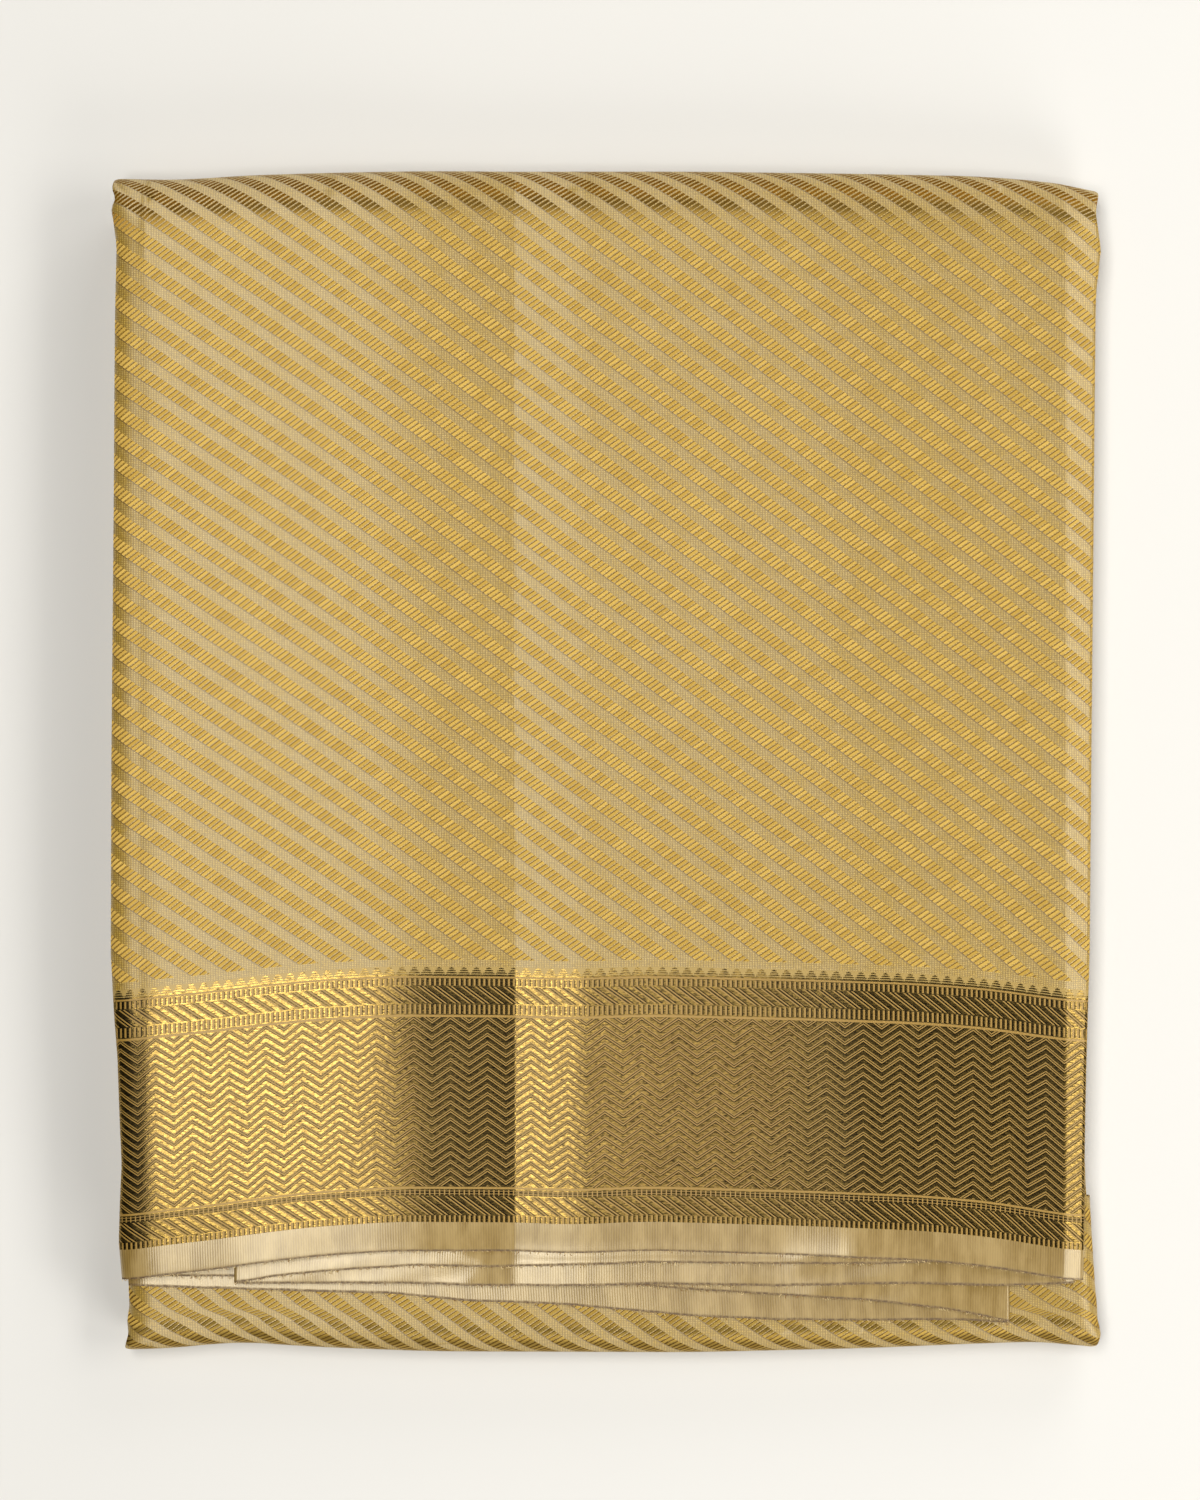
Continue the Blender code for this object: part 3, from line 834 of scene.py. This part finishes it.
def zari_border():
    """Close-woven metal thread running along the border, with silk lines
    over it: bright where it catches the light, near black where it doesn't,
    and painted near black in the troughs between its raised floats."""
    mat, t = new_material("woven zari border")
    mm, along, up = place_in_cloth(t)

    def repeat(source, pitch, shift=0.0):
        """Place in each repeat of a pattern, from 0 to 1."""
        turns = add(t, MATH, [source, 1 / pitch, shift], operation="MULTIPLY_ADD")
        return add(t, MATH, [turns], operation="FRACT")

    # zigzag rows
    right_part = add(t, MATH, [along, OLD_CREASE], operation="GREATER_THAN")
    place = add(t, MATH, [right_part, CREASE_SHIFT, along], operation="MULTIPLY_ADD")
    zig = add(t, MATH, [repeat(place, ZIGZAG, ZIGZAG_START), 0.5], operation="PINGPONG")
    rise = add(t, MATH, [zig, -ZIGZAG_RISE, up], operation="MULTIPLY_ADD")
    chevron = repeat(rise, CHEVRON)
    chevron_line = add(t, MATH, [chevron, CHEVRON_LINE], operation="LESS_THAN")
    chevron_second = add(t, MATH, [chevron, *CHEVRON_SECOND], operation="COMPARE")
    chevron_trough = add(t, MATH, [repeat(rise, CHEVRON, CHEVRON_LINE), CHEVRON_TROUGH],
                         operation="LESS_THAN")
    # slanted lines in pairs
    slant = repeat(add(t, MATH, [up, SLANT_LEAN, along], operation="MULTIPLY_ADD"), SLANT)
    slant_line = add(t, MATH, [slant, SLANT_LINE], operation="LESS_THAN")
    slant_second = add(t, MATH, [slant, *SLANT_SECOND], operation="COMPARE")
    hatch = add(t, MATH, [slant_line, slant_second], operation="ADD")
    slant_troughs = [add(t, MATH, [slant, *at], operation="COMPARE") for at in SLANT_TROUGHS]
    hatch_trough = add(t, MATH, slant_troughs, operation="ADD")
    # bars and dots
    bar = repeat(along, BAR)
    bars = add(t, MATH, [bar, BAR_LINE], operation="LESS_THAN")
    bar_trough = add(t, MATH, [bar, *BAR_TROUGH], operation="COMPARE")
    dot_gap = add(t, MATH, [bar, DOT_GAP], operation="LESS_THAN")
    dot_row_gap = add(t, MATH, [repeat(up, DOT_ROW), DOT_ROW_GAP], operation="LESS_THAN")
    dots = add(t, MATH, [dot_gap, dot_row_gap], operation="MAXIMUM")
    # stepped and barred triangles on the cream
    peak = add(t, MATH, [repeat(along, TEMPLE), 0.5], operation="PINGPONG")
    step = add(t, MATH, [up, -CHART[-1][1]], operation="ADD")
    step = add(t, MATH, [step, TEMPLE_STEP], operation="SNAP")
    edge = add(t, MATH, [step, TEMPLE_SLOPE, TEMPLE_EDGE], operation="MULTIPLY_ADD")
    beside = add(t, MATH, [peak, edge], operation="LESS_THAN")
    temple_bar = add(t, MATH, [repeat(up, TEMPLE_STEP), TEMPLE_BAR], operation="LESS_THAN")
    beside = add(t, MATH, [beside, temple_bar], operation="MAXIMUM")

    patterns = {"bars": bars, "hatch": hatch, "dots": dots, "chevrons": chevron_line, "line": 1.0}
    # The troughs between the raised floats, where shade is painted in.
    trough_shades = {"dots": 1.0, "bars": bar_trough, "hatch": hatch_trough, "chevrons": chevron_trough}
    lines, trough_shade = 0.0, 0.0
    for row, low, high in CHART:
        here = add(t, MATH, [up, (low + high) / 2, (high - low) / 2], operation="COMPARE")
        if row == "temple":
            cream = add(t, MATH, [here, beside], operation="MULTIPLY")
            continue
        line = add(t, MATH, [here, patterns[row]], operation="MULTIPLY")
        lines = add(t, MATH, [lines, line], operation="MAXIMUM")
        if row == "chevrons":
            second = add(t, MATH, [here, chevron_second], operation="MULTIPLY")
        if row in trough_shades:
            trough_shade = add(t, MATH, [here, trough_shades[row], trough_shade], operation="MULTIPLY_ADD")
    below = add(t, MATH, [up, CHART[0][1]], operation="LESS_THAN")
    above = add(t, MATH, [up, CHART[-1][2]], operation="GREATER_THAN")
    outside = add(t, MATH, [above, below], operation="MAXIMUM")
    cream = add(t, MATH, [cream, outside], operation="MAXIMUM")

    # short streaks where the flat metal thread turns in its place: a random tone
    # from near black to gold in the metal's colour, partly painted glints and
    # painted shade of the turning thread; the streaks also give the bumps
    streaks = add(t, VEC, [mm, (0.5, 2.0, 1)], operation="MULTIPLY")
    grain_and_glints = add(t, NOISE, {"Vector": streaks, "Scale": 1.0, "Detail": 3.0, "Roughness": 0.7})
    grain_and_glints = add(t, RANGE, [grain_and_glints, 0.34, 0.66])
    # painted shade, near black, in the troughs between the raised floats
    trough_shade = add(t, MATH, [trough_shade, TROUGH_SHADE], operation="MULTIPLY")
    colour = add(t, MIX, [grain_and_glints, srgb("#281c07"), srgb("#ae8f49")], data_type="RGBA")
    for where, paint in ((trough_shade, "#171004"), (second, "#947330"), (lines, "#9a7834"), (cream, "#a68a4a")):
        colour = add(t, MIX, [where, colour, srgb(paint)], data_type="RGBA")
    silk = add(t, MATH, [lines, second], operation="MAXIMUM")
    silk = add(t, MATH, [silk, cream], operation="MAXIMUM")
    height = add(t, MATH, [grain_and_glints, RIB_HEIGHT], operation="MULTIPLY")
    height = add(t, MATH, [silk, SILK_RISE, height], operation="MULTIPLY_ADD")
    shader = add(t, "ShaderNodeBsdfPrincipled", {
        **SHEEN, "Base Color": colour,
        "Metallic": add(t, MATH, [silk, -0.95, 1.0], operation="MULTIPLY_ADD"),
        "Roughness": add(t, MATH, [silk, 0.26, 0.34], operation="MULTIPLY_ADD"),
        "IOR": 1.6, "Specular Tint": (1.0, 0.86, 0.6, 1.0), "Coat Weight": 0.12, "Coat Roughness": 0.3,
        "Normal": add(t, "ShaderNodeBump", {**RELIEF, "Height": height}),
        "Tangent": add(t, "ShaderNodeTangent", direction_type="UV_MAP", uv_map="cloth")})
    add(t, "ShaderNodeOutputMaterial", [shader])
    return mat


def plain_silk():
    """Plain-woven silk selvedge: smooth, pale, fine ribs, dark brown at the
    very edge: a little wear, and the painted shade of the thin dark line along
    each lip."""
    mat, t = new_material("plain silk selvedge")
    mm, along, up = place_in_cloth(t)
    rib = add(t, MATH, [along, 1 / RIB], operation="MULTIPLY")
    rib = add(t, MATH, [rib, 0.5], operation="PINGPONG")
    rib = add(t, MATH, [rib, 2.0], operation="MULTIPLY")
    streaks = add(t, VEC, [mm, (1, 0.25, 1)], operation="MULTIPLY")
    drift = add(t, NOISE, {"Vector": streaks, "Scale": 0.14, "Detail": 5.0, "Roughness": 0.65})
    drift = add(t, RANGE, [drift, 0.40, 0.60])
    specks = add(t, NOISE, {"Vector": mm, "Scale": 0.9, "Detail": 3.0})
    specks = add(t, RANGE, [specks, 0.42, 0.58, 0.5, 1.0])
    ground = add(t, MIX, [rib, srgb("#775c28"), srgb("#957a3e")], data_type="RGBA")
    paler = add(t, MIX, [0.5, ground, srgb("#b89d66")], data_type="RGBA")
    ground = add(t, MIX, [drift, ground, paler], data_type="RGBA")
    # the very edge goes dark brown: a little wear, and painted shade for the dark line under each lip
    worn_edge_and_shade = add(t, MATH, [add(t, RANGE, [up, 0.4, 0.95, 1.0, 0.0]), specks], operation="MULTIPLY")
    height = add(t, MATH, [rib, RIB_HEIGHT], operation="MULTIPLY")
    shader = add(t, "ShaderNodeBsdfPrincipled", {
        **SHEEN, "Base Color": add(t, MIX, [worn_edge_and_shade, ground, srgb("#4c300c")], data_type="RGBA"),
        "Roughness": add(t, MATH, [worn_edge_and_shade, 0.45, 0.4], operation="MULTIPLY_ADD"),
        "IOR": 1.75, "Specular Tint": (1.0, 0.92, 0.74, 1.0),
        "Normal": add(t, "ShaderNodeBump", {**RELIEF, "Height": height}),
        "Tangent": add(t, "ShaderNodeTangent", direction_type="UV_MAP", uv_map="cloth")})
    add(t, "ShaderNodeOutputMaterial", [shader])
    return mat


def frayed_silk():
    """Loose ends of golden silk at the cut of the selvedge: fine pale
    glints along the dark edge."""
    mat, t = new_material("frayed silk ends")
    tone = add(t, NOISE, {"Vector": place_in_part(t), "Scale": 0.8, "Detail": 1.0})
    tone = add(t, RANGE, [tone, 0.4, 0.6])
    shader = add(t, "ShaderNodeBsdfPrincipled", {
        "Base Color": add(t, MIX, [tone, srgb("#8a5f1e"), srgb("#e6cc92")], data_type="RGBA"),
        "Roughness": 0.5, "Specular IOR Level": 0.7})
    add(t, "ShaderNodeOutputMaterial", [shader])
    return mat


def floor_paint():
    """Matt wall paint, pale and even: it gives the eye only the soft shadow
    of the cloth."""
    mat, t = new_material("pale floor")
    shader = add(t, "ShaderNodeBsdfPrincipled", {"Base Color": srgb("#d9d7d2"), "Roughness": 0.9,
                                                 "Specular IOR Level": 0.1})
    add(t, "ShaderNodeOutputMaterial", [shader])
    return mat


silk_stripes, border_zari, selvedge_silk = striped_silk(), zari_border(), plain_silk()

# --------------------------------------------------------------- outer cloth
def from_border(share, y):
    """A row between the arched top of the border and a straight row."""
    return lambda x: (lip(x) + border_rise(x)) * (1 - share) + y * share


def to_fold(y, share):
    """A row between a straight row and the start of the top fold."""
    return lambda x: y * (1 - share) + head(x) * share


def rise_to(place):
    """Distance above the lip at which the weft has this place in the cloth,
    more where it has straightened out."""
    def read(x):
        x = np.asarray(x, float)
        d = place + 0 * x
        for _ in range(6):
            d = d + (place - weft_place(x, lip(x) + d))
        return d
    return read


def between(a, b, share):
    """A row between two distances above the lip."""
    return lambda x: lip(x) + a(x) * (1 - share) + b(x) * share


def at_lip(x):
    return 0 * np.asarray(x, float)


selvedge_rise, border_rise = rise_to(SELVEDGE), rise_to(BORDER_TOP)
# Rows of mesh over the border, below and above the straight row, and on
# each further leg of the fold path.
BORDER_STEPS = 44
LOWER_STEPS = 12
UPPER_STEPS = 66
LEG_STEPS = ((1, 24), (2, 34), (3, 20))


def outer_piece(name, node, rows, material):
    """One woven stretch of the outer cloth, in place of its node."""
    grid, u = stretch(rows)
    obj = shell(name, grid, cloth_uv(rows, grid, u), SILK, [material])
    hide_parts(node)
    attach(obj, "root")
    return obj, grid


selvedge_rows = [(0, between(at_lip, selvedge_rise, d / SELVEDGE)) for d in SELVEDGE_ROWS]
border_rows = [(0, between(selvedge_rise, border_rise, s)) for s in span(0, 1, BORDER_STEPS)]
body_rows = [(0, from_border(s, STRAIGHT_ROW)) for s in span(0, 1, LOWER_STEPS)]
body_rows += [(0, to_fold(STRAIGHT_ROW, s)) for s in span(0, 1, UPPER_STEPS)[1:]]
for leg, steps in LEG_STEPS:
    body_rows += [(leg, s) for s in span(0, 1, steps)[1:]]
body_rows += [(4, y) for y in RETURN_ROWS]

selvedge, lip_grid = outer_piece("selvedge_silk", "selvedge_strip", selvedge_rows, selvedge_silk)
border, _ = outer_piece("border_band", "zari_border", border_rows, border_zari)
body, _ = outer_piece("striped_body", "body_cloth", body_rows, silk_stripes)

# ------------------------------------------------------------------- leaves
def leaf_line(low, up, turn, far):
    """Outline of a folded stretch from layer to layer round its turn, as x,
    z and share of the upper layer."""
    out = 1.0 if turn > far else -1.0
    radius = (up - low + LEAF_SILK) / 2
    bottom, start = low - LEAF_SILK, turn - out * radius
    flat = list(np.linspace(far, start, LEAF_COLUMNS))
    line = [(x, bottom, 0.0) for x in flat]
    for a in np.radians(span(-90.0, 90.0, 10)[1:-1]):
        up_share = (1 + math.sin(a)) / 2
        line.append((start + out * radius * math.cos(a), bottom + radius * (1 + math.sin(a)), up_share))
    line += [(x, up, 1.0) for x in flat[::-1]]
    return (np.array(c) for c in zip(*(line[::-1] if out > 0 else line)))


def leaf(name, low, up, turn, far, edges):
    """One folded stretch of the hidden width: its layers show only their
    selvedges, one behind the other."""
    x, z, layer = leaf_line(low, up, turn, far)
    (swell, seed, slow), (pucker, quick) = LEAF_SWELL, LEAF_PUCKER
    edge = table(edges, x, 1, LEAF_ROUND) * (1 - layer) + table(edges, x, 2, LEAF_ROUND) * layer
    for height, waver, size in LEAF_WAVER:
        edge = edge + height * ripple(x, LAYERS_APART * layer, waver, size)
    near_turn = np.clip(1 - np.abs(x - turn) / LEAF_TURN[0], 0, 1) ** 1.5 * (layer > 0.5) * (turn > 0)
    left, _ = sides(0, -175.0)
    over = np.clip(left + EDGE_LEFT - x, 0, 7) / EDGE_LEFT
    roll = LEAF_DROP * (1 - np.sqrt(1 - over ** 2)) + BEVEL_SLOPE * np.clip(x - BEVEL_FROM, 0, 9)
    reach = LEAF_BACK - edge
    steps = [d / reach for d in LIP_ROWS]
    steps += [(LEAF_FIRST_ROW + (reach - LEAF_FIRST_ROW) * share) / reach
              for share in np.array(span(0, 1, 12)) ** LEAF_ROW_SPREAD]
    grid = []
    for share in steps:
        y = edge + reach * share
        bend = np.clip(1 - (y - edge) / LIP_BEND_REACH, 0, 1) ** 2
        lift = swell * ripple(x, 0 * x, seed, slow) + pucker * ripple(x, PUCKER_CLOSER * y, int(low), quick)
        high = z - LEAF_BEND * bend + LEAF_TURN[1] * near_turn + lift
        ceiling = panel_z(x, np.maximum(y, lip(x))) + MOUTH_OPENS[0] * np.clip(lip(x) - y, 0, MOUTH_OPENS[1])
        ceiling = ceiling - SILK - LEAF_CLEAR
        room = LEAF_FLOOR + (z - LEAF_LOWEST) / (LEAF_HIGHEST - LEAF_LOWEST) * (ceiling - LEAF_FLOOR) - roll
        grid.append(np.stack([x, y, np.minimum(high, room)], -1))
    grid = np.array(grid)
    uv = np.stack([arc_length(grid, 1, 0), grid[..., 1] - edge[None, :]], -1)
    obj = shell(name, grid, uv, LEAF_SILK, [selvedge_silk, border_zari], lambda v: v > LEAF_ZARI_FROM)
    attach(obj, "root")
    return obj, grid


def fray_tree(material):
    """Short curled thread ends, scattered along an edge."""
    tree = bpy.data.node_groups.new("frayed ends", "GeometryNodeTree")
    tree.interface.new_socket("Geometry", in_out="INPUT", socket_type="NodeSocketGeometry")
    for name, value in (("Spacing", FRAY_SPACING), ("Length", FRAY_LENGTH), ("Thickness", FRAY_RADIUS)):
        socket = tree.interface.new_socket(name, in_out="INPUT", socket_type="NodeSocketFloat")
        socket.default_value = value * MM
    tree.interface.new_socket("Geometry", in_out="OUTPUT", socket_type="NodeSocketGeometry")
    given = tree.nodes.new("NodeGroupInput").outputs
    edge = add(tree, "GeometryNodeMeshToCurve", [given["Geometry"]])
    spots = add(tree, "GeometryNodeCurveToPoints", {"Curve": edge, "Length": given["Spacing"]}, mode="LENGTH")
    curl = add(tree, "GeometryNodeCurveQuadraticBezier", {
        "Resolution": 4, "Start": (0, 0.2, 0), "Middle": (0.25, -0.7, 0.35), "End": (0.7, -0.75, -0.1)})
    curl = add(tree, "GeometryNodeTransform", {"Geometry": curl, "Scale": given["Length"]})
    ring = add(tree, "GeometryNodeCurvePrimitiveCircle", {"Resolution": 5, "Radius": given["Thickness"]})
    thread = add(tree, "GeometryNodeCurveToMesh", {
        "Curve": curl, "Profile Curve": ring, "Fill Caps": True})
    chosen = add(tree, "FunctionNodeRandomValue", {"Probability": 0.6, "Seed": 3}, data_type="BOOLEAN")
    turned = add(tree, "FunctionNodeRandomValue", {
        "Min": (-0.4, -2.6, -1.1), "Max": (0.4, 2.6, 0.9), "Seed": 5}, data_type="FLOAT_VECTOR")
    sized = add(tree, "FunctionNodeRandomValue", {"Min": 0.45, "Max": 1.3, "Seed": 8}, data_type="FLOAT")
    ends = add(tree, "GeometryNodeInstanceOnPoints", {
        "Points": spots, "Selection": chosen, "Instance": thread, "Rotation": turned, "Scale": sized})
    real = add(tree, "GeometryNodeRealizeInstances", [ends])
    dyed = add(tree, "GeometryNodeSetMaterial", {"Geometry": real, "Material": material})
    tree.links.new(dyed.outputs[0], tree.nodes.new("NodeGroupOutput").inputs[0])
    return tree


def frays(name, paths, material):
    """One piece of all the thread ends that stick out along some edges."""
    verts, joins = [], []
    for path in paths:
        first = len(verts)
        verts += in_metres(path).tolist()
        joins += [(i, i + 1) for i in range(first, len(verts) - 1)]
    mesh = bpy.data.meshes.new(name + " path")
    mesh.from_pydata(verts, joins, [])
    path_obj = put(name + " path", mesh)
    path_obj.modifiers.new("frays", "NODES").node_group = fray_tree(material)
    scene_now = bpy.context.evaluated_depsgraph_get()
    done = bpy.data.meshes.new_from_object(path_obj.evaluated_get(scene_now))
    done.name = name
    bpy.data.objects.remove(path_obj)
    return put(name, done)


leaves, free_edges = {}, [lip_grid[0]]
for node, row in LEAVES.items():
    leaves[node], leaf_grid = leaf(node + "_silk", **row)
    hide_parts(node)
    free_edges.append(leaf_grid[0])

ends = frays("frayed_ends", free_edges, frayed_silk())
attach(ends, "root")


# ------------------------------------------------------------- hidden layers
def run_depth(leg, t):
    """Depth of the inner side of the hidden stack."""
    lower = INSET + 2 * RUN_HALF
    if leg == 0:
        return THICK - RUN_SPLIT
    if leg == 1:
        return (THICK - RUN_SPLIT) * (1 - t) + lower * t
    return lower


def bundle_ring(leg, t, steps=36, flat=16):
    """One closed outline of the stack: outside, right rolls, inside, left."""
    left, right = sides(leg, t)
    reach = (EDGE_LEFT - INSET - ROLL_GAP, EDGE_RIGHT - INSET - ROLL_GAP)
    a, b = left + EDGE_LEFT, right - EDGE_RIGHT - BEVEL_CLEAR

    def side(f, col):
        """Reach of the loops of cloth at a share of the stack's depth."""
        bulge = math.sqrt(max(0.0, 1 - (2 * f - 1) ** 2))
        for p, q in zip(ROLLS, ROLLS[1:]):
            if f <= q[0]:
                u = (f - p[0]) / (q[0] - p[0])
                back = p[col] + (q[col] - p[col]) * u + ROLL_GROOVE * abs(2 * u - 1) ** 3
                return (reach[col - 1] - back) * bulge
        return 0.0

    top = [(x, 0.0) for x in np.linspace(a, b, flat)]
    shares = [0.5 - 0.5 * math.cos(math.pi * k / steps) for k in range(1, steps)]
    line = top + [(b + side(f, 2), f) for f in shares]
    line += [(x, 1.0) for x, _ in top[::-1]]
    line += [(a - side(f, 1), f) for f in shares[::-1]]
    x, f = (np.array(c) for c in zip(*line))
    depth = INSET + (run_depth(leg, t) - INSET) * f
    y, z = path_point(leg, t, x, depth)
    return np.stack([x, y + 0 * x, z + 0 * x], -1)


def bundle(name, stations):
    """The stack as one closed solid along its folds, capped at both ends."""
    grid = np.array([bundle_ring(leg, t) for leg, t in stations])
    rows, cols = grid.shape[:2]
    u = arc_length(np.concatenate([grid, grid[:, :1]], axis=1), 1, 0)
    v = arc_length(grid, 0, 0)[:, 0] + SKIN_START
    verts = in_metres(grid.reshape(-1, 3))
    faces, uvs = [], []
    for r in range(rows - 1):
        for c in range(cols):
            d = (c + 1) % cols
            faces.append((r * cols + c, r * cols + d, (r + 1) * cols + d, (r + 1) * cols + c))
            uvs += [(u[p, q], v[p]) for p, q in ((r, c), (r, c + 1), (r + 1, c + 1), (r + 1, c))]
    for r, flip in ((0, 1), (rows - 1, 0)):
        ring = [r * cols + c for c in range(cols)]
        faces.append(tuple(ring[::-1] if flip else ring))
        uvs += [(u[r, c], v[r]) for c in (range(cols - 1, -1, -1) if flip else range(cols))]
    mesh = bpy.data.meshes.new(name)
    mesh.from_pydata(verts.tolist(), [], faces)
    layer = mesh.uv_layers.new(name="cloth")
    layer.data.foreach_set("uv", (np.array(uvs) * MM).astype(np.float32).reshape(-1))
    mesh.materials.append(silk_stripes)
    mesh.polygons.foreach_set("use_smooth", [True] * (len(faces) - 2) + [False] * 2)
    mesh.update()
    return put(name, mesh)


runs = [(0, y) for y in span(*TOP_RUN, 22)]
runs += [(1, s) for s in span(0.0, 1.0, 20)]
runs += [(2, s) for s in span(0.0, 1.0, 20)[1:-1]]
runs += [(3, s) for s in span(0.0, 1.0, 16)]
runs += [(4, y) for y in span(*RETURN_RUN, 20)]
stack = bundle("layered_silk", runs)
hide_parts("folded_bundle")
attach(stack, "root")

# ------------------------------------------------------------ stage and light
FLOOR_HALF = 6.0
floor_mesh = bpy.data.meshes.new("floor")
floor_mesh.from_pydata([(x * FLOOR_HALF, y * FLOOR_HALF, 0) for x, y in ((-1, -1), (1, -1), (1, 1), (-1, 1))],
                       [], [(0, 1, 2, 3)])
floor_mesh.materials.append(floor_paint())
floor = put("floor", floor_mesh)

# One soft light straight above and three low ones, which the folds catch.
# Places and sizes are in metres.
DAYLIGHT = (1.0, 0.99, 0.97)
SOFTBOXES = [
    # name,          place,              aimed at,           size,        watts
    ("overhead",    (-0.43, 0.15, 2.2), (-0.43, 0.15, 0.0), (0.66, 1.6), 42.0),
    ("far window",  (0.8, 1.6, 0.62),   (0.0, 0.0, 0.0),    (1.2, 0.9),  15.0),
    ("near window", (0.9, -1.4, 0.7),   (0.0, 0.0, 0.0),    (1.0, 1.0),  19.0),
    ("side window", (1.2, 0.1, 1.05),   (0.0, 0.0, 0.0),    (1.3, 0.42), 10.0),
]
for name, place, aim, size, watts in SOFTBOXES:
    lamp = bpy.data.lights.new(name, "AREA")
    lamp.shape = "RECTANGLE"
    lamp.size, lamp.size_y = size
    lamp.energy = watts
    lamp.color = DAYLIGHT
    softbox = put(name, lamp)
    softbox.location = place
    softbox.rotation_euler = (Vector(aim) - Vector(place)).to_track_quat("-Z", "Y").to_euler()

STUDIO_GREY, STUDIO_STRENGTH = (0.5, 0.5, 0.5, 1.0), 0.12
world = bpy.data.worlds.new("studio")
bpy.context.scene.world = world
world.use_nodes = True
world.node_tree.nodes["Background"].inputs[0].default_value = STUDIO_GREY
world.node_tree.nodes["Background"].inputs[1].default_value = STUDIO_STRENGTH

# The camera looks straight down.
CAMERA_OVER = (-2.25, 4.0)
CAMERA_HEIGHT = 1.2394        # in metres
camera = bpy.data.cameras.new("camera")
camera.lens, camera.sensor_width = 85.0, 36.0
camera.clip_start, camera.clip_end = 0.05, 20.0
eye = put("camera", camera)
eye.location = ((CAMERA_OVER[0] + CENTRING[0]) * MM, (CAMERA_OVER[1] + CENTRING[1]) * MM, CAMERA_HEIGHT)
bpy.context.scene.camera = eye
bpy.context.scene.view_settings.view_transform = "Standard"
